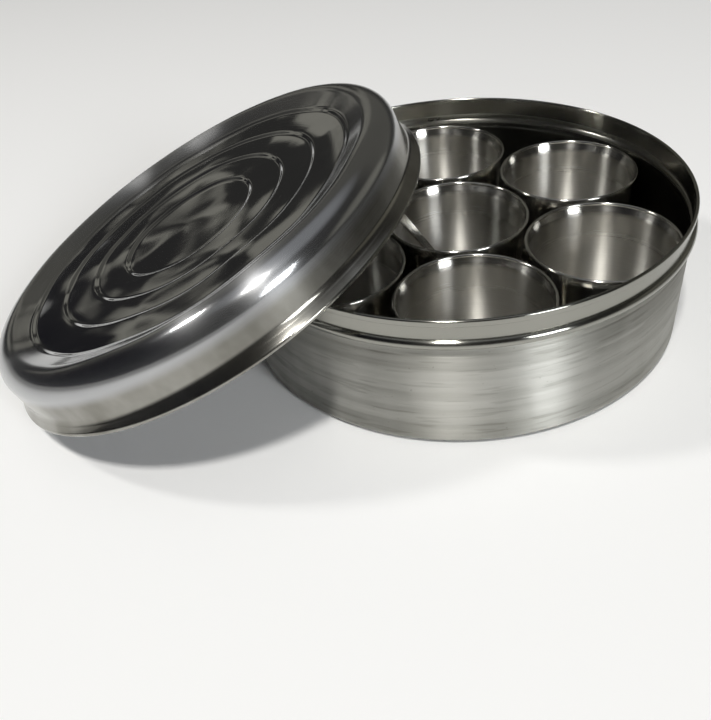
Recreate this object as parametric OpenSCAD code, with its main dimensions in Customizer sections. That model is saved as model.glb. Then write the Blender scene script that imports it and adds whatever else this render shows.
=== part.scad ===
// Spice box: a round steel box with seven small bowls, a spoon and a lid that leans on the rim.
// Millimetres. Origin: middle of the box base on the table, +Z up, the front of the box towards -Y.

/* [Box] */
// Outside diameter over the hemmed rim
rim_d = 199.2; // [180:0.2:220]
// Height from the table to the top of the rim
box_h = 60.2; // [54:0.1:66]
// Thickness of the sheet of the box
box_sheet = 0.7; // [0.5:0.1:1]
// Height of the hem folded down outside the rim
hem_h = 2.7; // [2:0.1:4]
// Depth of the middle of the stop bead below the rim
bead_drop = 10.7; // [9:0.1:13]
// Distance the stop bead stands out from the neck
bead_out = 1.7; // [1.2:0.1:1.9]
// Half height of the stop bead
bead_half = 2.1; // [2:0.1:2.6]
// Distance by which the radius of the body narrows down to the base
body_draft = 0.7; // [0:0.1:2]
// Radius of the corner round the base
base_corner = 3; // [2:0.5:8]

/* [Bowls] */
// Height of a bowl
bowl_h = 45.5; // [38:0.5:50]
// Thickness of the sheet of a bowl
bowl_sheet = 0.6; // [0.5:0.1:0.9]
// Room between one bowl and the next
bowl_gap = 2.4; // [2:0.1:4]
// Room between the ring of bowls and the neck of the box
wall_gap = 0.45; // [0.4:0.05:1.5]
// Distance by which the radius of a bowl narrows down to its base
bowl_taper = 1.7; // [0.5:0.1:5]
// Radius of the corner round the base of a bowl
bowl_corner = 6; // [3:0.5:10]
// Height of the flared band below the top of the lip
lip_band = 4.5; // [3:0.1:6]
// Distance by which the flared band widens out to the lip
lip_step = 1; // [0.4:0.1:1.2]
// Radius of the rolled edge of the lip
lip_roll = 0.7; // [0.6:0.05:0.9]
// Direction of the right-hand bowl, seen from above
ring_turn = -24.4; // [-30:0.1:30]
// Distance the centre bowl stands from the middle of the box
centre_off = 1; // [0:0.1:1.2]
// Direction in which the centre bowl stands off
centre_turn = -53; // [-180:1:180]
// Distance the left front bowl has slid inwards
left_front_in = 1.2; // [0:0.1:1.2]

/* [Lid] */
// Room between the rim of the box and the skirt of the lid
lid_fit = 0.4; // [0.3:0.05:0.8]
// Thickness of the sheet of the lid
lid_sheet = 0.7; // [0.5:0.1:1]
// Height of the lid from its rim to its crest
lid_h = 25.5; // [23:0.5:32]
// Radius of the round shoulder
lid_shoulder = 8.7; // [7:0.1:11]
// Depth of the outermost ring of the top below the crest
lid_sink = 4.3; // [3:0.1:6]
// Height of the step from each ring of the top to the next
ring_drop = 0.8; // [0.4:0.1:1.2]
// Width of the step between two rings
step_w = 2.6; // [2:0.1:4]
// Height by which each ring of the top bulges
ring_bulge = 0.3; // [0:0.05:0.6]
// Distance from the skirt to the outer edge of the rim
lid_flare = 2.9; // [2.4:0.1:3.6]
// Radius of the curled edge of the rim
lid_curl = 1.2; // [1:0.1:1.4]
// Angle at which the lid leans
lid_tilt = 23.1; // [21:0.1:26]
// Sideways offset of the leaning lid
lid_side = -12.1; // [-20:0.1:0]
// Direction in which the leaning lid rises, seen from above
lid_turn = 4; // [-10:0.1:12]

/* [Spoon] */
// Length of the handle
spoon_handle = 50; // [44:1:62]
// Width of the handle at its end
spoon_end_w = 6; // [5:0.5:8]
// Width of the handle at the neck
spoon_neck_w = 4.4; // [3.5:0.1:5]
// Thickness of the sheet of the spoon
spoon_sheet = 1; // [0.8:0.1:1.4]
// Diameter of the round head
spoon_head_d = 17; // [14:0.5:19]
// Radius of the ball that the head is pressed over
spoon_ball = 11.5; // [10.5:0.5:14]
// Angle between the head and the handle
spoon_bend = 15; // [10:1:20]
// Angle at which the handle leans
spoon_lean = 51; // [48:1:56]
// Direction of the handle from the centre bowl, seen from above
spoon_turn = 164; // [155:1:175]

/* [Fits] */
// Room between a piece and its seat
seat = 0.3; // [0.25:0.05:0.5]
// Extra height of the leaning lid over the rim where the two cross
lean_gap = 0.1; // [0.05:0.05:0.6]

/* [Hidden] */
round_fn = 180;
arc_n = 8;
wide_n = 16;
round_n = 24;
// Directions in the plane of a section, whose x runs outwards from the axis and whose z runs up
out_way = atan2(0, 1);
up_way = atan2(1, 0);
in_way = atan2(0, -1);
down_way = atan2(-1, 0);
// Six bowls round a seventh of their size stand a corner of an equal-sided triangle apart
sixth_turn = acos(1 / 2);

rim_r = rim_d / 2;
fold_gap = box_sheet / 7;
neck_out = rim_r - box_sheet - fold_gap;
neck_in = neck_out - box_sheet;
hem_round = (rim_r - neck_in) / 2;
bead_z = box_h - bead_drop;
bead_r = (bead_half * bead_half + bead_out * bead_out) / (2 * bead_out);
bead_cx = neck_out + bead_out - bead_r;
bead_angle = asin(bead_half / bead_r);
body_r = neck_out - body_draft;

bowl_r = (neck_in - wall_gap - bowl_gap) / 3;
ring_r = neck_in - wall_gap - bowl_r;
bowl_z = box_sheet + seat;
bowl_wall = bowl_r - lip_roll - lip_step;
bowl_base = bowl_wall - bowl_taper;
lip_x = bowl_r - lip_roll;
lip_z = bowl_h - lip_roll;
band_x = lip_x + bowl_sheet / 2;
lip_meet = sqrt(lip_roll * lip_roll - bowl_sheet * bowl_sheet / 4);
lip_angle = acos(bowl_sheet / (2 * lip_roll));
centre_x = centre_off * cos(centre_turn);
centre_y = centre_off * sin(centre_turn);

skirt_in = rim_r + lid_fit;
skirt_out = skirt_in + lid_sheet;
curl_x = skirt_out + lid_flare - lid_curl;
shoulder_x = skirt_out - lid_shoulder;
shoulder_z = lid_h - lid_shoulder;
cove_r = lid_flare * 1.55;
cove_z = lid_flare * 2.48;
cove_angle = 45;
curl_from = 60;
curl_to = -256;
slope_w = rim_d * 0.0592;
ring_count = 5;
ring_4 = shoulder_x - slope_w;
ring_pitch = ring_4 / ring_count;
ring_3 = ring_4 - ring_pitch;
ring_2 = ring_3 - ring_pitch;
ring_1 = ring_2 - ring_pitch;
top_4 = lid_h - lid_sink;
top_3 = top_4 - ring_drop;
top_2 = top_3 - ring_drop;
top_1 = top_2 - ring_drop;
top_5 = top_4 + ring_drop;
cone_x = shoulder_x - ring_4 - step_w / 2;
cone_z = shoulder_z - top_5;
cone_angle = atan2(cone_z, cone_x) + asin(lid_shoulder / norm([cone_x, cone_z]));

lean_s = (box_h + lean_gap) / (curl_x * sin(lid_tilt)) - 1;
lean_c = sqrt(1 - lean_s * lean_s);
rim_mid = neck_in + hem_round;
lean_y = lid_side + curl_x * lean_c;
lean_d = curl_x * lean_s * cos(lid_tilt) + sqrt(rim_mid * rim_mid - lean_y * lean_y);
lean_z = curl_x * sin(lid_tilt) + lid_curl + seat;

head_r = spoon_head_d / 2;
ball_z = sqrt(spoon_ball * spoon_ball - head_r * head_r);
head_lean = spoon_lean - spoon_bend;
floor_z = bowl_z + bowl_sheet;
lip_off = lip_roll + seat;
lip_near = sqrt(lip_x * lip_x - spoon_end_w * spoon_end_w / 4);
under_s = lip_near - lip_off * sin(spoon_lean);
under_z = bowl_z + lip_z + lip_off * cos(spoon_lean);
ball_rise = floor_z + seat + spoon_ball + head_r * sin(head_lean) - ball_z * cos(head_lean);
neck_back = (under_z - ball_rise) / sin(spoon_lean);
neck_s = under_s - neck_back * cos(spoon_lean);
neck_z = under_z - neck_back * sin(spoon_lean);

// Points along an arc round (x, z), from angle a0 to angle a1
function arc(x, z, r, a0, a1, n) =
    [for (i = [0:n]) let (a = a0 + (a1 - a0) * i / n) [x + r * cos(a), z + r * sin(a)]];

// Points along an S from p to q that leaves and arrives level
function ess(p, q, n) =
    [for (i = [0:n])
        let (u = i / n, s = u * u * (3 - 2 * u))
        [p[0] + (q[0] - p[0]) * u, p[1] + (q[1] - p[1]) * s]];

// Points along a low bulge between two points at one height
function bulge(x0, x1, z, b, n) =
    [for (i = [1:n - 1]) let (u = i / n) [x0 + (x1 - x0) * u, z + 4 * b * u * (1 - u)]];

// Points along a low dome from the middle out to x
function dome(x, z, b, n) =
    concat([[0, z + b]], [for (i = [0:n - 1]) [x * (i + 0.5) / n, z + b * (1 - i * i / (n * n))]]);

function unit(v) = v / norm(v);
function left(v) = [-v[1], v[0]];

// Offset direction at point i of a line of points, so that both neighbours move by one unit
function mitre(p, i) =
    let (last = len(p) - 1, j = max(i, 1), k = min(i, last - 1))
    let (a = left(unit(p[j] - p[j - 1])), b = left(unit(p[k + 1] - p[k])))
    (a + b) / (1 + a * b);

function shifted(p, t) = [for (i = [0:len(p) - 1]) p[i] + t * mitre(p, i)];
function between(p) = [for (i = [1:len(p) - 2]) p[i]];
function reversed(p) = [for (i = [len(p) - 1:-1:0]) p[i]];

// Outside of the box from the middle of the base to the foot of the hem
box_line = concat(
    [[0, 0]],
    arc(body_r - base_corner, base_corner, base_corner, down_way, out_way, arc_n),
    [[neck_out, bead_z - bead_half]],
    arc(bead_cx, bead_z, bead_r, -bead_angle, bead_angle, wide_n),
    [[neck_out, box_h - hem_h]]);

// Hem from its foot over the top to the inside
hem_line = concat(
    arc(rim_r - hem_round / 2, box_h - hem_h + hem_round / 2, hem_round / 2, down_way, out_way, arc_n),
    arc(rim_r - hem_round, box_h - hem_round, hem_round, out_way, in_way, wide_n));

module box() {
    color("silver")
    rotate_extrude($fn = round_fn)
    polygon(concat(box_line, hem_line, reversed(shifted(box_line, box_sheet))));
}

// Outside of a bowl from the middle of its base to its lip
bowl_line = concat(
    [[0, 0]],
    arc(bowl_base - bowl_corner, bowl_corner, bowl_corner, down_way, out_way, arc_n),
    [[bowl_wall, bowl_h - lip_band]],
    [[band_x, lip_z - lip_meet]]);

// Rolled edge of the lip, from the outside round to the inside
lip_line = between(arc(lip_x, lip_z, lip_roll, out_way - lip_angle, in_way + lip_angle, round_n));

module bowl_shell() {
    rotate_extrude($fn = round_fn)
    polygon(concat(bowl_line, lip_line, reversed(shifted(bowl_line, bowl_sheet))));
}

// One bowl of the ring, the given number of sixths of a turn after the right-hand one
module ring_bowl(sixths, inwards) {
    color("gainsboro")
    rotate([0, 0, ring_turn + sixth_turn * sixths])
    translate([ring_r - inwards, 0, bowl_z])
    bowl_shell();
}

module bowl_centre() {
    color("gainsboro")
    translate([centre_x, centre_y, bowl_z])
    bowl_shell();
}

module bowl_right() {
    ring_bowl(0, 0);
}

module bowl_back_right() {
    ring_bowl(1, 0);
}

module bowl_back_left() {
    ring_bowl(2, 0);
}

module bowl_left_back() {
    ring_bowl(3, 0);
}

module bowl_left_front() {
    ring_bowl(4, left_front_in);
}

module bowl_front() {
    ring_bowl(5, 0);
}

// Outside of the lid from the middle of its top to the curl
lid_line = concat(
    dome(ring_1 - step_w / 2, top_1, ring_bulge, arc_n),
    ess([ring_1 - step_w / 2, top_1], [ring_1 + step_w / 2, top_2], arc_n),
    bulge(ring_1 + step_w / 2, ring_2 - step_w / 2, top_2, ring_bulge, arc_n),
    ess([ring_2 - step_w / 2, top_2], [ring_2 + step_w / 2, top_3], arc_n),
    bulge(ring_2 + step_w / 2, ring_3 - step_w / 2, top_3, ring_bulge, arc_n),
    ess([ring_3 - step_w / 2, top_3], [ring_3 + step_w / 2, top_4], arc_n),
    bulge(ring_3 + step_w / 2, ring_4 - step_w / 2, top_4, ring_bulge, arc_n),
    ess([ring_4 - step_w / 2, top_4], [ring_4 + step_w / 2, top_5], arc_n),
    arc(shoulder_x, shoulder_z, lid_shoulder, up_way + cone_angle, out_way, round_n),
    arc(skirt_out + cove_r, cove_z, cove_r, in_way, in_way + cove_angle, arc_n));

// Curled edge of the rim, from the outside round to the inside
curl_line = arc(curl_x, lid_curl, lid_curl, curl_from, curl_to, round_n);

module lid_shell() {
    rotate_extrude($fn = round_fn)
    polygon(concat(lid_line, curl_line, reversed(shifted(lid_line, -lid_sheet))));
}

module lid() {
    color("silver")
    rotate([0, 0, lid_turn])
    translate([-lean_d, lid_side, lean_z])
    rotate([0, -lid_tilt, 0])
    translate([0, 0, -lid_curl])
    lid_shell();
}

// Round dish of the spoon, its rim level with the origin
module spoon_dish() {
    intersection() {
        translate([0, 0, ball_z])
        difference() {
            sphere(r = spoon_ball, $fn = round_fn);
            sphere(r = spoon_ball - spoon_sheet, $fn = round_fn);
        }
        translate([0, 0, -spoon_ball])
        cylinder(r = spoon_ball, h = spoon_ball, $fn = round_fn);
    }
}

// Flat handle along +X from the neck, its underside level with the origin
module spoon_strip() {
    linear_extrude(height = spoon_sheet)
    polygon([
        [-spoon_sheet, -spoon_neck_w / 2],
        [spoon_handle - spoon_end_w / 2, -spoon_end_w / 2],
        [spoon_handle - spoon_end_w / 2, spoon_end_w / 2],
        [-spoon_sheet, spoon_neck_w / 2]]);
    translate([spoon_handle - spoon_end_w / 2, 0, 0])
    cylinder(d = spoon_end_w, h = spoon_sheet, $fn = round_fn);
}

module spoon() {
    color("gray")
    translate([centre_x, centre_y, 0])
    rotate([0, 0, spoon_turn])
    translate([neck_s, 0, neck_z]) {
        rotate([0, -spoon_lean, 0])
        spoon_strip();
        rotate([0, -head_lean, 0])
        translate([-head_r, 0, 0])
        spoon_dish();
    }
}

box();
lid();
bowl_centre();
bowl_front();
bowl_right();
bowl_back_right();
bowl_back_left();
bowl_left_back();
bowl_left_front();
spoon();
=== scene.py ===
# %% [markdown]
# # A steel spice box, dressed for its picture
# The object is a round box spun from thin stainless steel sheet. Seven small bowls and a spoon stand in it,
# and its lid leans on the rim. The measured model is already packed as a frame, so this lesson makes no new
# sizes. It makes finer skins for the same pieces, gives them a believable metal, and lights them softly.

# %% Load the frame
import math
from collections import namedtuple

import bmesh
import bpy
from mathutils import Matrix, Vector, noise


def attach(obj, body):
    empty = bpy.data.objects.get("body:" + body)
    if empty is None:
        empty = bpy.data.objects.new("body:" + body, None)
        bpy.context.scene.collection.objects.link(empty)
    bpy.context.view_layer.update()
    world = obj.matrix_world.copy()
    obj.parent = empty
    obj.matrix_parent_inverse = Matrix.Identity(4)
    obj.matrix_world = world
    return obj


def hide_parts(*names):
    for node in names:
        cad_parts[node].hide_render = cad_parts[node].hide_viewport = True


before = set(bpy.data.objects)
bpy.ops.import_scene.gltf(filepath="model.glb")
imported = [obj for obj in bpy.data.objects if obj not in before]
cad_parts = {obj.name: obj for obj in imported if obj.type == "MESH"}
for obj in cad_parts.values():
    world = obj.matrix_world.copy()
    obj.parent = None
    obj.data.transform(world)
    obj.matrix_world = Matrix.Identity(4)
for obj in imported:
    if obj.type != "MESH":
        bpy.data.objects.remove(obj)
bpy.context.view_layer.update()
MM = 0.001
print("nodes:", ", ".join(sorted(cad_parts)))

# %% [markdown]
# ## The camera
# The camera comes first, because it decides which details matter. Its place was found by fitting circles of
# known size, such as the rim and the lips of the bowls, to their ellipses in the photograph. A camera can
# be aimed with a Track To constraint, but a constraint can't hold a roll. So its three axes are written as
# a matrix.

# %% Camera
IMAGE_W = 711
SENSOR_MM = 36
FOCAL_PX = 800.14
NEAR_CLIP = 0.01
EYE = Vector((0.0, -320.24, 223.79)) * MM
AIM = Vector((-53.3, 0.0, -36.45)) * MM
ROLL = math.radians(-7.36)


def placed(name, data):
    """A new object for a mesh, a lamp or a camera, linked to the scene."""
    made = bpy.data.objects.new(name, data)
    bpy.context.scene.collection.objects.link(made)
    return made


forward = (AIM - EYE).normalized()
level = forward.cross(Vector((0, 0, 1))).normalized()
upright = level.cross(forward)
across = math.cos(ROLL) * level + math.sin(ROLL) * upright
upward = -math.sin(ROLL) * level + math.cos(ROLL) * upright

lens = bpy.data.cameras.new("photo_camera")
lens.sensor_fit = "HORIZONTAL"
lens.sensor_width = SENSOR_MM
lens.lens = SENSOR_MM * FOCAL_PX / IMAGE_W
lens.clip_start = NEAR_CLIP
camera = placed("photo_camera", lens)
axes = Matrix((across, upward, -forward)).transposed()
camera.matrix_world = Matrix.Translation(EYE) @ axes.to_4x4()
bpy.context.scene.camera = camera
bpy.context.scene.view_settings.view_transform = "Standard"
print(f"camera {EYE.length:.3f} m from the origin, lens {lens.lens:.1f} mm")

# %% [markdown]
# ## Lines that become sheet metal
# Every vessel here is spun: a flat disc turns on a lathe and is pressed over a former. The honest way to
# draw such a piece is one section line, in millimetres, as pairs of radius and height. The helpers below
# draw arcs, and they offset a line by the thickness of the sheet, so that the inside follows the outside
# everywhere.

# %% Section helpers
DOWN, OUT, UP, IN = -90, 0, 90, 180
LEAST = 0.004


def arc(x, z, r, start, end, steps):
    """Points on an arc round (x, z), with angles in degrees."""
    turns = [math.radians(start + (end - start) * i / steps) for i in range(steps + 1)]
    return [(x + r * math.cos(a), z + r * math.sin(a)) for a in turns]


def ess(p, q, steps):
    """An S from p to q that leaves and arrives level."""
    ease = [(i / steps, (i / steps) ** 2 * (3 - 2 * i / steps)) for i in range(steps + 1)]
    return [(p[0] + (q[0] - p[0]) * u, p[1] + (q[1] - p[1]) * s) for u, s in ease]


def straight(p, q, steps):
    """Points from p to q, without p itself."""
    shares = [i / steps for i in range(1, steps + 1)]
    return [(p[0] + (q[0] - p[0]) * u, p[1] + (q[1] - p[1]) * u) for u in shares]


def tidy(line):
    """The line without points that lie on top of each other."""
    kept = [line[0]]
    for point in line[1:]:
        if math.dist(point, kept[-1]) > LEAST:
            kept.append(point)
    return kept


def offset(line, thickness):
    """The line moved sideways by the thickness, to its left where that is positive."""
    moved = []
    last = len(line) - 1
    for i, point in enumerate(line):
        j, k = max(i, 1), min(i, last - 1)
        a = Vector(line[j]) - Vector(line[j - 1])
        b = Vector(line[k + 1]) - Vector(line[k])
        a, b = Vector((-a.y, a.x)).normalized(), Vector((-b.y, b.x)).normalized()
        side = (a + b) / (1 + a.dot(b))
        moved.append((point[0] + thickness * side.x, point[1] + thickness * side.y))
    return moved


def sheet_section(line, edge, thickness):
    """A closed section: out along the line, round its edge, and back on the other side of the sheet."""
    line = tidy(line)
    return tidy(line + edge + offset(line, thickness)[::-1])


print("a quarter arc:", [tuple(round(v, 2) for v in p) for p in arc(0, 0, 1, OUT, UP, steps=3)])

# %% [markdown]
# ## Spinning a line
# Blender's Screw modifier could turn the line, but it leaves a seam and a hole at the axis. A few lines of
# bmesh give clean rings of quads with one point at each pole, closed all round, which also makes a good
# printable mesh. Smooth shading hides the facets, and edges sharper than a set angle stay crisp.

# %% Spin helper
SHARP = math.radians(38)
POLE = 0.02


def skin(name, body):
    """The smooth object of a finished bmesh."""
    mesh = bpy.data.meshes.new(name)
    body.to_mesh(mesh)
    body.free()
    mesh.shade_smooth()
    print(f"{name}: {len(mesh.vertices)} points, {len(mesh.polygons)} faces")
    return placed(name, mesh)


def ring_points(body, r, z, turns):
    """The points of one ring, or the one point at a pole."""
    if r < POLE:
        return [body.verts.new((0, 0, z * MM))]
    angles = [2 * math.pi * i / turns for i in range(turns)]
    return [body.verts.new((r * math.cos(a) * MM, r * math.sin(a) * MM, z * MM)) for a in angles]


def spin(name, section, turns, shape=None):
    """A closed body of revolution from a section in millimetres; shape may move each point a little."""
    body = bmesh.new()
    rings = [ring_points(body, r, z, turns) for r, z in section]
    for a, b in zip(rings, rings[1:] + rings[:1]):
        if len(a) == 1 and len(b) == 1:
            continue
        for i in range(turns):
            j = (i + 1) % turns
            corners = [a[i % len(a)], a[j % len(a)], b[j % len(b)], b[i % len(b)]]
            body.faces.new(list(dict.fromkeys(corners)))
    if shape:
        for vert in body.verts:
            vert.co = shape(vert.co)
    bmesh.ops.recalc_face_normals(body, faces=body.faces)
    piece = skin(name, body)
    piece.data.set_sharp_from_angle(angle=SHARP)
    return piece


print(f"edges over {math.degrees(SHARP):.0f} degrees stay sharp")

# %% [markdown]
# ## The sizes of the box
# One sheet runs from the middle of the base, up the wall, out over the stop bead and up the neck, and folds
# outwards and down into a hem. A few sizes drive it, in millimetres. The rest follows from them, such as
# the radius of the bead, and is worked out here, because both the shape and the finish need it.

# %% Box sizes
SHEET = 0.7
RIM_R = 99.6
BOX_H = 60.2
HEM_H = 2.7
FOLD = 0.1
DRAFT = 0.7
BASE_CORNER = 3.0
BEAD_Z = 49.5
BEAD_OUT = 1.7
BEAD_HALF = 2.1

neck_out = RIM_R - SHEET - FOLD
neck_in = neck_out - SHEET
hem_r = (RIM_R - neck_in) / 2
body_r = neck_out - DRAFT
bead_r = (BEAD_HALF ** 2 + BEAD_OUT ** 2) / (2 * BEAD_OUT)
bead_turn = math.degrees(math.asin(BEAD_HALF / bead_r))
wall_foot = (body_r, BASE_CORNER)
wall_top = (neck_out, BEAD_Z - BEAD_HALF)
print(f"box {2 * RIM_R:.1f} mm across its rim, neck {2 * neck_in:.1f} mm inside")

# %% [markdown]
# ## The box
# The wall isn't quite straight: the roller leaves shallow waves, a few hundredths of a millimetre deep, and
# polished metal shows even those as bands. A bump in the material could fake them, but waves in the section
# line also bend what the wall reflects. They are set inwards, so that the wall keeps to its measured size,
# and they fade out at the base and below the bead.

# %% Box
WAVE = 0.03
WAVE_SET_IN = 2 * WAVE
WAVES = ((0.9, 1.0, 0.0), (1.7, 0.7, 1.0), (3.1, 0.5, 2.0))
FINE_GROOVES = ((44.2, 0.16, 0.5), (46.3, 0.08, 0.4))
FADE_FOOT, FADE_TOP = 3.0, 2.0
WIDE_TURNS = 256


def rolled(r, z):
    """A point of the wall with the shallow waves of the roller and two fine grooves below the bead."""
    waves = sum(share * math.sin(z * rate + phase) for rate, share, phase in WAVES)
    grooves = sum(depth * math.exp(-((z - at) / wide) ** 2) for at, depth, wide in FINE_GROOVES)
    fade = min(1.0, (z - wall_foot[1]) / FADE_FOOT, (wall_top[1] - z) / FADE_TOP)
    return (r - (WAVE * waves + WAVE_SET_IN + grooves) * max(0.0, fade), z)


box_line = [(0, 0)] + straight((0, 0), (body_r - BASE_CORNER, 0), steps=12)
box_line += arc(body_r - BASE_CORNER, BASE_CORNER, BASE_CORNER, DOWN, OUT, steps=10)
box_line += [rolled(*p) for p in straight(wall_foot, wall_top, steps=110)]
box_line += arc(neck_out + BEAD_OUT - bead_r, BEAD_Z, bead_r, -bead_turn, bead_turn, steps=24)
box_line += straight((neck_out, BEAD_Z + BEAD_HALF), (neck_out, BOX_H - HEM_H), steps=6)
hem_line = arc(RIM_R - hem_r / 2, BOX_H - HEM_H + hem_r / 2, hem_r / 2, DOWN, OUT, steps=6)
hem_line += arc(RIM_R - hem_r, BOX_H - hem_r, hem_r, OUT, IN, steps=18)
box_piece = spin("box_skin", sheet_section(box_line, hem_line, SHEET), WIDE_TURNS)
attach(box_piece, "box")
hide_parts("box")

# %% [markdown]
# ## The section of a bowl
# All seven bowls come from one former, so one section serves them all: a soft corner at the base, a wall
# that opens a little, a crisp flare, and a wire-like rolled lip. The lip is a full round on the edge of the
# sheet, so the section needs the two points where the sides of the sheet run into its circle.

# %% Bowl section
BOWL_SHEET = 0.6
BOWL_H = 45.5
BOWL_R = 31.75
BOWL_CORNER = 6.0
BOWL_TAPER = 1.7
LIP_ROLL = 0.7
LIP_STEP = 1.0
LIP_BAND = 4.5

bowl_wall = BOWL_R - LIP_ROLL - LIP_STEP
bowl_base = bowl_wall - BOWL_TAPER
lip_x, lip_z = BOWL_R - LIP_ROLL, BOWL_H - LIP_ROLL
lip_turn = math.degrees(math.acos(BOWL_SHEET / (2 * LIP_ROLL)))
lip_meet = math.sqrt(LIP_ROLL ** 2 - BOWL_SHEET ** 2 / 4)
flare_foot = (bowl_wall, BOWL_H - LIP_BAND)
flare_top = (lip_x + BOWL_SHEET / 2, lip_z - lip_meet)

bowl_line = [(0, 0)] + straight((0, 0), (bowl_base - BOWL_CORNER, 0), steps=10)
bowl_line += arc(bowl_base - BOWL_CORNER, BOWL_CORNER, BOWL_CORNER, DOWN, OUT, steps=14)
bowl_line += straight((bowl_base, BOWL_CORNER), flare_foot, steps=24)
bowl_line += straight(flare_foot, flare_top, steps=4)
lip_line = arc(lip_x, lip_z, LIP_ROLL, OUT - lip_turn, IN + lip_turn, steps=22)[1:-1]
bowl_section = sheet_section(bowl_line, lip_line, BOWL_SHEET)
print("bowl section:", len(bowl_section), "points")

# %% [markdown]
# ## Seven bowls in a ring
# Six bowls stand round a seventh, a sixth of a turn apart, and two of them have slid a little. Copies could
# share one mesh, but then all would show the same marks. So each gets its own mesh, turned by its own
# angle.

# %% Bowls
SEAT = 0.3
BOWL_Z = SHEET + SEAT
RING_R = 65.9
RING_TURN = -24.4
SIXTH = 60.0
RING_NAMES = ("bowl_right", "bowl_back_right", "bowl_back_left", "bowl_left_back", "bowl_left_front",
              "bowl_front")
SLID_IN = {"bowl_left_front": 1.2}
CENTRE_OFF, CENTRE_TURN = 1.0, -53
BOWL_TURNS = 160
MARKS_TURN = 0.8


def polar(r, degrees):
    """The point at that radius and in that direction, seen from above."""
    a = math.radians(degrees)
    return r * math.cos(a), r * math.sin(a)


centre = polar(CENTRE_OFF, CENTRE_TURN)
bowl_places = {"bowl_centre": centre}
for sixths, name in enumerate(RING_NAMES):
    bowl_places[name] = polar(RING_R - SLID_IN.get(name, 0.0), RING_TURN + SIXTH * sixths)

bowls = []
for turn, (name, (bx, by)) in enumerate(sorted(bowl_places.items())):
    bowl = spin(name + "_skin", bowl_section, BOWL_TURNS)
    stand = Matrix.Translation(Vector((bx, by, BOWL_Z)) * MM)
    bowl.matrix_world = stand @ Matrix.Rotation(turn * MARKS_TURN, 4, "Z")
    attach(bowl, name)
    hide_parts(name)
    bowls.append(bowl)

# %% [markdown]
# ## The section of the lid
# The top is stamped in rings that step down towards the middle, inside a high round shoulder. The skirt
# drops from the shoulder, flares in a small cove and ends in a curled edge. A cone runs from the last step
# up to the shoulder and touches its circle, so its angle is worked out and not chosen.

# %% Lid section
LID_H = 25.5
LID_FIT = 0.4
SHOULDER = 8.7
SINK = 4.3
DROP = 0.8
STEPS = 4
STEP_W = 2.6
CONE_W = 11.79
BULGE = 0.1
FLARE = 2.9
CURL = 1.2
CURL_FROM, CURL_TO = 60, -256
COVE_TURN = 45
DOME_STEPS = 14

skirt_r = RIM_R + LID_FIT + SHEET
curl_x = skirt_r + FLARE - CURL
cove_r, cove_z = FLARE * 1.55, FLARE * 2.48
crest_x, crest_z = skirt_r - SHOULDER, LID_H - SHOULDER
pitch = (crest_x - CONE_W) / (STEPS + 1)
half_step = STEP_W / 2
tops = [LID_H - SINK - DROP * (STEPS - 1 - i) for i in range(STEPS + 1)]
steps_at = [pitch * (i + 2) for i in range(STEPS)]


def bulged(x0, x1, z, steps=12):
    """A ring that bulges very slightly between x0 and x1."""
    shares = [i / steps for i in range(1, steps)]
    return [(x0 + (x1 - x0) * u, z + 4 * BULGE * u * (1 - u)) for u in shares]


dome_r = steps_at[0] - half_step
dome_shares = [i / DOME_STEPS for i in range(DOME_STEPS)]
lid_line = [(dome_r * u, tops[0] + BULGE * (1 - u ** 2)) for u in dome_shares]
for i, at in enumerate(steps_at):
    lid_line += ess((at - half_step, tops[i]), (at + half_step, tops[i + 1]), steps=10)
    if at < steps_at[-1]:
        lid_line += bulged(at + half_step, steps_at[i + 1] - half_step, tops[i + 1])
cone = Vector((crest_x - steps_at[-1] - half_step, crest_z - tops[-1]))
cone_turn = math.degrees(math.atan2(cone.y, cone.x) + math.asin(SHOULDER / cone.length))
crest_line = arc(crest_x, crest_z, SHOULDER, UP + cone_turn, OUT, steps=40)
lid_line += straight(lid_line[-1], crest_line[0], steps=8)
lid_line += crest_line
lid_line += arc(skirt_r + cove_r, cove_z, cove_r, IN, IN + COVE_TURN, steps=10)
curl_line = arc(curl_x, CURL, CURL, CURL_FROM, CURL_TO, steps=30)
print(f"lid {2 * (curl_x + CURL):.1f} mm across its curl, cone at {cone_turn:.1f} degrees")

# %% [markdown]
# ## The lid
# A mirror shows the slightest unevenness, and the real sheet has plenty. So the points of the top are moved
# up and down by smooth noise of a few tenths of a millimetre, which dies away down the shoulder. That is
# what bends the reflections into swirls. A bump could do it in the picture, but not in the exported mesh.

# %% Lid
BUCKLE, BUCKLE_LENGTH = 0.75, 34
RIPPLE, RIPPLE_LENGTH = 0.13, 15
RIPPLE_SHIFT = Vector((7, 3, 1))
CALM_R, CALM_W = 98, 12


def uneven(co):
    """A point of the lid, lifted by two sizes of smooth noise."""
    flat = Vector((co.x, co.y, 0)) / MM
    fade = max(0.0, min(1.0, (CALM_R - flat.length) / CALM_W))
    lift = BUCKLE * noise.noise(flat / BUCKLE_LENGTH)
    lift += RIPPLE * noise.noise(flat / RIPPLE_LENGTH + RIPPLE_SHIFT)
    return co + Vector((0, 0, lift * fade * MM))


lid_piece = spin("lid_skin", sheet_section(lid_line, curl_line, -SHEET), WIDE_TURNS, uneven)

# %% [markdown]
# ## How the lid leans
# One edge of the lid stands on the table, and its curl lies across the rim of the box. Dragging it there by
# hand would leave a gap or a clash. The place follows from the lean instead: the curl is a circle, and
# where it is as high as the rim is known, so the distance from the middle of the box can be worked out.

# %% Leaning lid
LEAN = math.radians(23.1)
LEAN_GAP = 0.1
LID_TURN = math.radians(4)
LID_SIDE = -12.1

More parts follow.
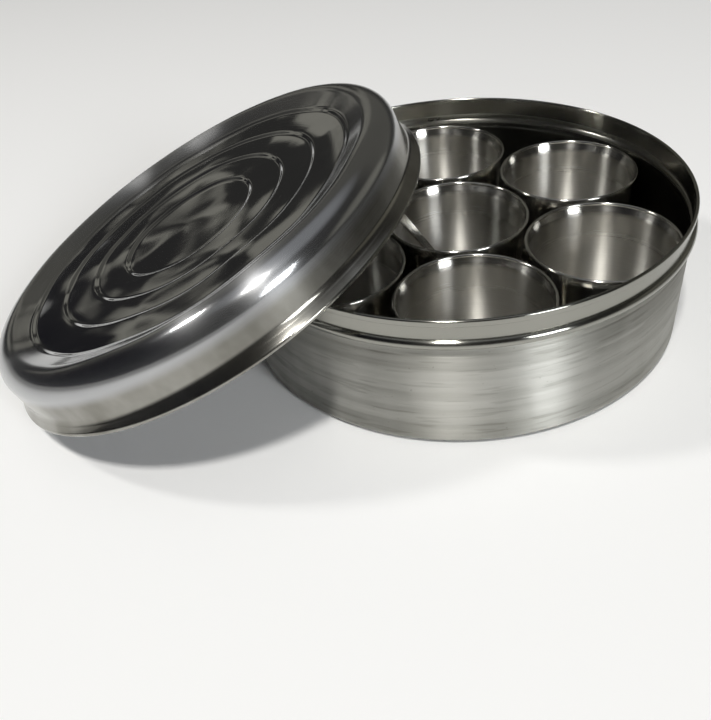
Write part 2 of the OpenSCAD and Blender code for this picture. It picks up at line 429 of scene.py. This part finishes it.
lean_s = (BOX_H + LEAN_GAP) / (curl_x * math.sin(LEAN)) - 1
lean_y = LID_SIDE + curl_x * math.sqrt(1 - lean_s ** 2)
rim_mid = neck_in + hem_r
lean_d = curl_x * lean_s * math.cos(LEAN) + math.sqrt(rim_mid ** 2 - lean_y ** 2)
lean_z = curl_x * math.sin(LEAN) + CURL + SEAT
lid_piece.matrix_world = (Matrix.Rotation(LID_TURN, 4, "Z")
                          @ Matrix.Translation(Vector((-lean_d, LID_SIDE, lean_z)) * MM)
                          @ Matrix.Rotation(-LEAN, 4, "Y")
                          @ Matrix.Translation(Vector((0, 0, -CURL)) * MM))
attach(lid_piece, "lid")
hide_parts("lid")
print(f"lid leans {math.degrees(LEAN):.1f} degrees, {lean_d:.1f} mm from the middle of the box")

# %% [markdown]
# ## Where the spoon stands
# The spoon is one strip of sheet, stamped round at one end, pressed over a ball, and bent a little at the
# neck. Its head stands on the floor of the centre bowl, and its handle leans on the lip. Both contacts are
# known, so the place of the neck is worked out from them.

# %% Spoon sizes
HANDLE = 50.0
END_W, NECK_W = 6.0, 4.4
END_R = END_W / 2
HEAD_R = 8.5
BALL = 11.5
THICK = 1.0
SPOON_LEAN, SPOON_BEND = 51.0, 15.0
SPOON_TURN = math.radians(164)

ball_z = math.sqrt(BALL ** 2 - HEAD_R ** 2)
lean = math.radians(SPOON_LEAN)
head_lean = math.radians(SPOON_LEAN - SPOON_BEND)
lip_off = LIP_ROLL + SEAT
under_s = math.sqrt(lip_x ** 2 - END_R ** 2) - lip_off * math.sin(lean)
under_z = BOWL_Z + lip_z + lip_off * math.cos(lean)
ball_rise = BOWL_Z + BOWL_SHEET + SEAT + BALL
ball_rise += HEAD_R * math.sin(head_lean) - ball_z * math.cos(head_lean)
neck_back = (under_z - ball_rise) / math.sin(lean)
neck = Vector((under_s - neck_back * math.cos(lean), 0, under_z - neck_back * math.sin(lean)))
print("neck of the spoon:", [round(v, 2) for v in neck])

# %% [markdown]
# ## The spoon
# The sheet is drawn as a grid: rows go along its length and columns go across its width, and each point of
# the head drops by the depth of the ball. A Solidify modifier then gives the sheet its thickness, and a
# Bevel rounds its edge, which a stamped and tumbled spoon has.

# %% Spoon
NECK_LAP = 2.0
NECK_ROOM = 0.7
HEAD_LEVEL = 0.6
SHORT_OF_END = 0.995
LEAST_HALF = 0.05
HEAD_ROWS, HANDLE_ROWS, END_ROWS, COLUMNS = 40, 20, 8, 16
EDGE_ROUND = 0.3
EDGE_ANGLE = math.radians(50)
straight_part = HANDLE - END_R


def half_width(s):
    """Half the width of the sheet, s millimetres along it from the neck."""
    if s > straight_part:
        return math.sqrt(max(0.0, END_R ** 2 - (s - straight_part) ** 2))
    strip = (NECK_W + (END_W - NECK_W) * max(s, 0) / straight_part) / 2
    head = math.sqrt(max(0.0, HEAD_R ** 2 - (s + HEAD_R) ** 2))
    return max(strip, head) if s > -NECK_LAP else head


def spoon_point(s, t):
    """A point of the middle of the sheet, s along it and t across it."""
    depth = 0.0
    off = math.hypot(s + HEAD_R, t)
    if off < HEAD_R:
        depth = ball_z - math.sqrt((BALL - THICK / 2) ** 2 - min(off, HEAD_R - HEAD_LEVEL) ** 2)
    turn = head_lean if s < 0 else lean
    height = THICK / 2 if s >= 0 else depth
    along = Vector((math.cos(turn), 0, math.sin(turn)))
    out = Vector((-math.sin(turn), 0, math.cos(turn)))
    return neck + along * s + Vector((0, t, 0)) + out * height


head_turns = [math.pi * i / HEAD_ROWS for i in range(HEAD_ROWS + 1)]
stations = [-HEAD_R - HEAD_R * math.cos(a) * SHORT_OF_END for a in head_turns]
stations = sorted(s for s in stations if s < -NECK_ROOM)
stations += [straight_part * i / HANDLE_ROWS for i in range(HANDLE_ROWS + 1)]
end_turns = [math.pi / 2 * i / END_ROWS for i in range(1, END_ROWS + 1)]
stations += [straight_part + END_R * math.sin(a) * SHORT_OF_END for a in end_turns]
shares = [math.sin(math.pi / 2 * (2 * c / COLUMNS - 1)) for c in range(COLUMNS + 1)]

grid = bmesh.new()
rows = []
for s in stations:
    wide = max(half_width(s), LEAST_HALF)
    rows.append([grid.verts.new(spoon_point(s, wide * share) * MM) for share in shares])
for a, b in zip(rows, rows[1:]):
    for c in range(COLUMNS):
        grid.faces.new((a[c], b[c], b[c + 1], a[c + 1]))
spoon = skin("spoon_skin", grid)
sheet = spoon.modifiers.new("sheet", "SOLIDIFY")
sheet.thickness = THICK * MM
sheet.offset = 0.0
edge = spoon.modifiers.new("edge", "BEVEL")
edge.width = EDGE_ROUND * MM
edge.segments = 3
edge.limit_method = "ANGLE"
edge.angle_limit = EDGE_ANGLE
spoon.matrix_world = Matrix.Translation(Vector((*centre, 0)) * MM) @ Matrix.Rotation(SPOON_TURN, 4, "Z")
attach(spoon, "spoon")
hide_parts("spoon")
print("spoon:", len(stations), "stations")

# %% [markdown]
# ## Shader maths as plain Python
# Node trees are hard to read in code, so one small class wraps a socket and overloads the operators.
# Writing `1 - mask` then adds a Math node with the right inputs. Every other node comes from one method,
# which takes the node's type, its settings, and the values or links of its sockets.

# %% The socket class
MIX_FACTOR, MIX_A, MIX_B, MIX_COLOUR = 0, 6, 7, 2


class Wire:
    def __init__(self, tree, socket=None):
        self.tree = tree
        self.socket = socket

    def feed(self, target, value):
        if isinstance(value, Wire):
            self.tree.links.new(value.socket, target)
        else:
            target.default_value = value

    def node(self, kind, settings=None, inputs=None, out=0):
        made = self.tree.nodes.new("ShaderNode" + kind)
        for key, value in (settings or {}).items():
            setattr(made, key, value)
        for key, value in (inputs or {}).items():
            self.feed(made.inputs[key], value)
        return Wire(self.tree, made.outputs[out])

    def math(self, operation, *values):
        return self.node("Math", {"operation": operation}, dict(enumerate(values)))

    def __add__(self, other):
        return self.math("ADD", self, other)

    def __radd__(self, other):
        return self.math("ADD", other, self)

    def __sub__(self, other):
        return self.math("SUBTRACT", self, other)

    def __rsub__(self, other):
        return self.math("SUBTRACT", other, self)

    def __mul__(self, other):
        return self.math("MULTIPLY", self, other)

    def __rmul__(self, other):
        return self.math("MULTIPLY", other, self)

    def __truediv__(self, other):
        return self.math("DIVIDE", self, other)

    def __rtruediv__(self, other):
        return self.math("DIVIDE", other, self)

    def xyz(self):
        """The three parts of a vector."""
        split = self.node("SeparateXYZ", None, {0: self}).socket.node
        return [Wire(self.tree, socket) for socket in split.outputs]

    def between(self, low, high):
        """0 below low, 1 above high, and a smooth rise between them."""
        return self.node("MapRange", {"interpolation_type": "SMOOTHSTEP"},
                         {"Value": self, "From Min": low, "From Max": high})

    def noise(self, scale, detail, rough):
        return self.node("TexNoise", {"noise_dimensions": "3D"},
                         {"Vector": self, "Scale": scale, "Detail": detail, "Roughness": rough})


def mix_colour(wire, factor, a, b):
    return wire.node("Mix", {"data_type": "RGBA"}, {MIX_FACTOR: factor, MIX_A: a, MIX_B: b}, out=MIX_COLOUR)


print("the class knows", ", ".join(n for n in vars(Wire) if not n.startswith("_")))

# %% [markdown]
# ## What spun steel looks like
# A lathe leaves fine rings round the axis, so light is drawn out across them: a bowl shows upright streaks
# and a disc shows a fan. Cycles has this as anisotropy, which is one number on the shader. What changes
# over the surface is roughness, a little colour and a very low bump. They come from noise that is stretched
# along the rings: its three coordinates are the direction round the axis, which changes slowly, and the
# place along the section, which changes fast.

# %% Spun steel
AXIS_ROOM = 0.5
ACROSS_RINGS = 0.25
MARK_DEPTH = 0.02
Spun = namedtuple("Spun", "place x y z radius")


def spun_coordinates(wire):
    """The place in the object's own coordinates, and its x, y, z and radius in millimetres."""
    place = wire.node("TexCoord", out="Object")
    x, y, z = (part * (1 / MM) for part in place.xyz())
    return Spun(place, x, y, z, wire.math("SQRT", x * x + y * y))


def ring_noise(wire, at, along, turns, pitch, detail, rough):
    """Noise drawn out into rings: turns is its scale round the axis, pitch its scale along the section."""
    safe = wire.math("MAXIMUM", at.radius, AXIS_ROOM)
    parts = {0: at.x / safe * turns, 1: at.y / safe * turns, 2: along * pitch}
    return wire.node("CombineXYZ", None, parts).noise(1.0, detail, rough)


def metal(name, anisotropy):
    """A new metal with its constant sockets set: the material, a wire into its tree, and its shader."""
    made = bpy.data.materials.new(name)
    made.use_nodes = True
    shader = made.node_tree.nodes["Principled BSDF"]
    shader.inputs["Metallic"].default_value = 1.0
    shader.inputs["Anisotropic"].default_value = anisotropy
    shader.inputs["Anisotropic Rotation"].default_value = ACROSS_RINGS
    return made, Wire(made.node_tree), shader


def bump(wire, height, strength):
    return wire.node("Bump", None, {"Height": height, "Distance": MARK_DEPTH * MM, "Strength": strength})


print(f"lathe marks up to {MARK_DEPTH} mm deep")

# %% [markdown]
# ## The finish of the box
# The outside wall is satin, with small dark dashes and specks. Its colour is lighter and darker in level
# and
# upright stripes: painted reflection stripes and streaks. The neck, the bead and the hem are polished
# bright, and so is the inside, apart from the groove behind the bead, which stays dull. Their colour is
# darker than the wall's: a painted darker reflection. A sheet has two sides at almost the same radius, so
# the material compares the radius with the middle of the sheet at that height, and one material serves the
# whole piece.

# %% Box steel
SATIN_TOP = 47.2
GROOVE_HALF = 2.2
GROOVE_LOW, GROOVE_HIGH = BEAD_Z - GROOVE_HALF, BEAD_Z + GROOVE_HALF
EDGE_SOFT = 0.6
SIDE_SOFT = 0.1
WALL_DARK, WALL_PALE = (0.30, 0.296, 0.264, 1), (0.61, 0.606, 0.568, 1)

box_steel, w, shader = metal("box_steel", anisotropy=0.95)
at = spun_coordinates(w)
z = at.z
bead_back = bead_r - BEAD_OUT
chord = w.math("MAXIMUM", bead_r ** 2 - (z - BEAD_Z) * (z - BEAD_Z), bead_back ** 2)
hump = w.math("SQRT", chord) - bead_back
middle = neck_out - SHEET / 2 - DRAFT
off_middle = at.radius - middle - z.between(0.0, SATIN_TOP) * DRAFT - hump
outside = off_middle.between(-SIDE_SOFT, SIDE_SOFT)
wall = outside * (1 - z.between(SATIN_TOP, SATIN_TOP + EDGE_SOFT))
above = z.between(GROOVE_LOW - EDGE_SOFT, GROOVE_LOW)
below = 1 - z.between(GROOVE_HIGH, GROOVE_HIGH + EDGE_SOFT)
groove = (1 - outside) * above * below

# Of these noises, the level stripes and the upright streaks are painted reflection in the colour.
painted_bands = ring_noise(w, at, z, turns=0.30, pitch=0.17, detail=1.0, rough=0.5).between(0.38, 0.60)
rolls = ring_noise(w, at, z, turns=0.45, pitch=0.75, detail=2.0, rough=0.6)
dashes = ring_noise(w, at, z, turns=5.0, pitch=0.60, detail=1.0, rough=0.5).between(0.58, 0.66)
painted_streaks = ring_noise(w, at, z, turns=3.2, pitch=0.012, detail=2.0, rough=0.6).between(0.40, 0.62)
lines = ring_noise(w, at, z + at.radius, turns=1.2, pitch=9.0, detail=2.0, rough=0.7)
smudge = at.place.noise(scale=38.0, detail=4.0, rough=0.6)
specks = at.place.noise(scale=700.0, detail=2.0, rough=0.6).between(0.69, 0.76)

satin = 0.40 + rolls * 0.10 + smudge * 0.06 - painted_bands * 0.05
bright = 0.12 + smudge * 0.10 + groove * 0.12
# The wall's colour: painted reflection stripes and streaks, with smudges, dashes and specks.
marks_and_painted_bands = painted_bands * 0.26 + rolls * 0.30 + painted_streaks * 0.26 + smudge * 0.20 - dashes * 0.20 - specks * 0.35
# Off the wall, a fixed low colour is a painted darker reflection on the neck, bead, hem and inside.
marks_and_painted_reflection = wall * marks_and_painted_bands + (1 - wall) * 0.12
w.feed(shader.inputs["Roughness"], wall * satin + (1 - wall) * bright)
w.feed(shader.inputs["Base Color"], mix_colour(w, marks_and_painted_reflection, WALL_DARK, WALL_PALE))
w.feed(shader.inputs["Normal"], bump(w, lines * wall + lines * 0.3, strength=0.5))
box_piece.data.materials.append(box_steel)
print("box steel:", len(box_steel.node_tree.nodes), "nodes")

# %% [markdown]
# ## The finish of the lid
# The lid is polished like a mirror, so its look comes from what it reflects and from how flat it isn't. A
# cloth wheel leaves faint rings, and fingers leave patches that are a little rougher. Over the mirror lies
# the haze of fine scratches round the axis, which draws each lamp out into a streak across the shoulder.
# One shader can't be sharp and hazy at once, so two are mixed, with more haze on the outer zone. The colour
# of
# the skirt is darker in upright streaks: a painted dark reflection.

# %% Lid steel
CONE_ZONE = (80.5, 84.0)
HAZE_ZONE = (76.0, 94.0)
SKIRT_ZONE = (96.0, 100.0)
SKIRT_TOP = (12.0, 17.0)
HAZE_SHARE = 0.24
HAZE_ROUGH = 0.38
MIRROR_DARK, MIRROR_PALE = (0.46, 0.465, 0.475, 1), (0.57, 0.575, 0.58, 1)
# Colours of the painted dark reflection on the skirt, in upright streaks.
PAINTED_SKIRT_DARK, PAINTED_SKIRT_PALE = (0.25, 0.242, 0.212, 1), (0.42, 0.412, 0.38, 1)

lid_steel, w, shader = metal("lid_steel", anisotropy=0.6)
at = spun_coordinates(w)
smudge = at.place.noise(scale=30.0, detail=4.0, rough=0.6)
rings = ring_noise(w, at, at.radius - at.z, turns=0.8, pitch=2.2, detail=3.0, rough=0.6)
painted_skirt_streaks = ring_noise(w, at, at.z, turns=4.2, pitch=0.02, detail=4.0, rough=0.6).between(0.30, 0.70)
outer = at.radius.between(*CONE_ZONE)
# The darker skirt is a painted dark reflection.
painted_dark_skirt = at.radius.between(*SKIRT_ZONE) * (1 - at.z.between(*SKIRT_TOP))
polish_and_painted_skirt = mix_colour(w, smudge, MIRROR_DARK, MIRROR_PALE)
# The skirt's colour takes the painted dark reflection in upright streaks.
polish_and_painted_skirt = mix_colour(w, painted_dark_skirt, polish_and_painted_skirt, mix_colour(w, painted_skirt_streaks, PAINTED_SKIRT_DARK, PAINTED_SKIRT_PALE))
marks = bump(w, rings, strength=0.35)
w.feed(shader.inputs["Roughness"], 0.02 + smudge * 0.05 + rings * 0.03 + outer * 0.07)
w.feed(shader.inputs["Base Color"], polish_and_painted_skirt)
w.feed(shader.inputs["Normal"], marks)

mirror = Wire(lid_steel.node_tree, shader.outputs[0])
haze = w.node("BsdfPrincipled", None,
              {"Base Color": polish_and_painted_skirt, "Metallic": 1.0, "Roughness": HAZE_ROUGH, "Normal": marks,
               "Anisotropic": 1.0, "Anisotropic Rotation": ACROSS_RINGS})
both = w.node("MixShader", None, {0: at.radius.between(*HAZE_ZONE) * HAZE_SHARE, 1: mirror, 2: haze})
w.feed(lid_steel.node_tree.nodes["Material Output"].inputs["Surface"], both)
lid_piece.data.materials.append(lid_steel)
print("lid steel:", len(lid_steel.node_tree.nodes), "nodes")

# %% [markdown]
# ## The finish of the bowls
# The bowls are satin inside, with the lathe's rings plain to see, and rougher towards the base, where the
# cloth doesn't reach. So their streaks grow wider and brighter on the way down. Outside they are polished
# and mirror the dark of the box. Again the middle of the sheet tells the two sides apart: it leans with the
# wall, and leans further in the flare.

# %% Bowl steel
DEEP_ZONE = (8.0, 40.0)
BAND_ZONE = (40.6, 41.4)
LIP_ZONE = (43.6, 44.2)
POLISH_ROUGH = 0.13
RING_DARK, RING_PALE = (0.53, 0.518, 0.483, 1), (0.69, 0.676, 0.637, 1)

bowl_steel, w, shader = metal("bowl_steel", anisotropy=1.0)
at = spun_coordinates(w)
z = at.z
wall_slope = BOWL_TAPER / (flare_foot[1] - BOWL_CORNER)
flare_slope = (flare_top[0] - flare_foot[0]) / (flare_top[1] - flare_foot[1])
middle = bowl_base - BOWL_SHEET / 2 - BOWL_CORNER * wall_slope
flare = w.math("MAXIMUM", z - flare_foot[1], 0.0) * flare_slope
outside = (at.radius - middle - z * wall_slope - flare).between(-SIDE_SOFT, SIDE_SOFT)
outside = outside * (1 - z.between(*LIP_ZONE))
lines = ring_noise(w, at, at.radius + z, turns=0.9, pitch=3.5, detail=3.0, rough=0.7)
smudge = at.place.noise(scale=55.0, detail=3.0, rough=0.6)
deep = 1 - z.between(*DEEP_ZONE)
satin = (0.16 + deep * 0.19 + lines * 0.10 + smudge * 0.05) * (1 - z.between(*BAND_ZONE) * 0.2)
w.feed(shader.inputs["Roughness"], satin - outside * (satin - POLISH_ROUGH))
w.feed(shader.inputs["Base Color"], mix_colour(w, lines, RING_DARK, RING_PALE))
w.feed(shader.inputs["Normal"], bump(w, lines, strength=0.4))
for bowl in bowls:
    bowl.data.materials.append(bowl_steel)
print("bowl steel:", len(bowl_steel.node_tree.nodes), "nodes, on", len(bowls), "bowls")

# %% [markdown]
# ## The finish of the spoon
# The spoon is stamped and tumbled in a drum of small stones, and never turns on a lathe. So it has no rings
# and no anisotropy, only soft wear from plain noise.

# %% Spoon steel
WEAR_DARK, WEAR_PALE = (0.58, 0.57, 0.54, 1), (0.72, 0.71, 0.68, 1)

spoon_steel, w, shader = metal("spoon_steel", anisotropy=0.0)
wear = w.node("TexCoord", out="Object").noise(scale=140.0, detail=4.0, rough=0.6)
w.feed(shader.inputs["Roughness"], 0.10 + wear * 0.16)
w.feed(shader.inputs["Base Color"], mix_colour(w, wear, WEAR_DARK, WEAR_PALE))
spoon.data.materials.append(spoon_steel)
print("spoon steel:", len(spoon_steel.node_tree.nodes), "nodes")

# %% [markdown]
# ## The floor
# Metal shows its surroundings, so the studio is part of the look. A pale floor fills the picture and lights
# the skirt and the wall from below. Outside the picture it fades to grey on all four sides, so that the
# steel has something darker to show as well. Each fade is a direction on the floor, and where it starts and
# ends.

# %% Floor
FLOOR = 6.0
FLOOR_GAP = 0.0004
FLOOR_ROUGH = 0.9
PAPER_WHITE, PAPER_GREY = (0.93, 0.93, 0.925, 1), (0.30, 0.30, 0.295, 1)
FADES = {"front": ((0, -1), 0.21, 0.42), "left": ((-1, -0.455), 0.25, 0.55),
         "right": ((1, -0.25), 0.13, 0.40), "back": ((0.29, 1), 0.54, 1.0)}


def towards(x, y, way):
    """How far a place or a look goes that way, seen from above."""
    return x * way[0] + y * way[1]


bpy.ops.mesh.primitive_plane_add(size=FLOOR, location=(0, 0, -FLOOR_GAP))
floor = bpy.context.object
floor.name = "pale_floor"
paper = bpy.data.materials.new("floor_paper")
paper.use_nodes = True
w = Wire(paper.node_tree)
shader = paper.node_tree.nodes["Principled BSDF"]
floor_x, floor_y, _ = w.node("TexCoord", out="Object").xyz()
white = 1.0
for way, start, end in FADES.values():
    white = white * (1 - towards(floor_x, floor_y, way).between(start, end))
w.feed(shader.inputs["Base Color"], mix_colour(w, white, PAPER_GREY, PAPER_WHITE))
shader.inputs["Roughness"].default_value = FLOOR_ROUGH
floor.data.materials.append(paper)
print("floor", FLOOR, "m wide, fading to the", ", ".join(FADES))

# %% [markdown]
# ## The lamps
# A small lamp on the left, one in front and a low window on the right make the streaks in each bowl. A
# small lamp gives a narrow streak and a crisp highlight on the shoulder of the lid, and a wide one a broad
# sheen. They are placed by direction and distance, as a photographer would say it.

# %% Lights
LAMP = (0.24, 0.24)
WINDOW = (0.8, 1.0)
WARM, COOL = (1.0, 0.985, 0.955), (0.95, 0.975, 1.0)


def soft_box(name, azimuth, elevation, distance, size, power, colour):
    """A lamp in that direction, in degrees, that faces the middle of the box."""
    data = bpy.data.lights.new(name, "AREA")
    data.shape = "RECTANGLE"
    data.size, data.size_y = size
    data.energy = power
    data.color = colour
    a, e = math.radians(azimuth), math.radians(elevation)
    spot = Vector((math.cos(a) * math.cos(e), math.sin(a) * math.cos(e), math.sin(e))) * distance
    facing = spot.to_track_quat("Z", "Y").to_matrix().to_4x4()
    placed(name, data).matrix_world = Matrix.Translation(spot) @ facing
    print(name, [round(v, 2) for v in spot])


soft_box("left_lamp", azimuth=175, elevation=48, distance=2.5, size=LAMP, power=12.4, colour=WARM)
soft_box("front_lamp", azimuth=-99, elevation=66, distance=2.5, size=LAMP, power=34.2, colour=WARM)
soft_box("window", azimuth=-50, elevation=24, distance=3.0, size=WINDOW, power=40, colour=COOL)

# %% [markdown]
# ## The room
# The room is dark, with a dim glow behind the object and a brighter one on the right. At the back left,
# which is the part that the lid shows, are a few lit patches that it bends into swirls. The ceiling is a
# little brighter and draws a thin line along every rolled edge. A photograph of a room could do this too,
# but a few nodes need no file.

# %% Room
LEFT, RIGHT, BACK_LEFT = (-0.97, -0.26), (0.97, 0.26), (-0.55, 0.835)
ROOM_RIGHT, ROOM_LEFT = (0.032, 0.0315, 0.030, 1), (0.011, 0.011, 0.015, 1)
PATCH, CEILING = (0.25, 0.243, 0.212, 1), (0.30, 0.307, 0.32, 1)

world = bpy.data.worlds.new("room")
bpy.context.scene.world = world
world.use_nodes = True
w = Wire(world.node_tree)
look = w.node("TexCoord", out="Generated")
dx, dy, dz = look.xyz()
left_side = towards(dx, dy, LEFT).between(0.25, 0.7)
right_side = towards(dx, dy, RIGHT).between(0.80, 0.92)
back_left = towards(dx, dy, BACK_LEFT).between(0.87, 0.95)
glow = (dy.between(0.2, 0.7) * 0.35 + right_side * 0.8) * dz.between(0.04, 0.24)
patches = look.noise(scale=8.0, detail=2.0, rough=0.5).between(0.47, 0.55) * dz.between(0.05, 0.15)
lit = w.math("MINIMUM", glow * (1 - back_left) + patches * back_left, 1.0)
room = mix_colour(w, lit, mix_colour(w, left_side, ROOM_RIGHT, ROOM_LEFT), PATCH)
room = mix_colour(w, dz.between(0.78, 0.97), room, CEILING)
backdrop = world.node_tree.nodes["Background"]
w.feed(backdrop.inputs["Color"], room)
backdrop.inputs["Strength"].default_value = 1.0
print("room:", len(world.node_tree.nodes), "nodes")

# %% [markdown]
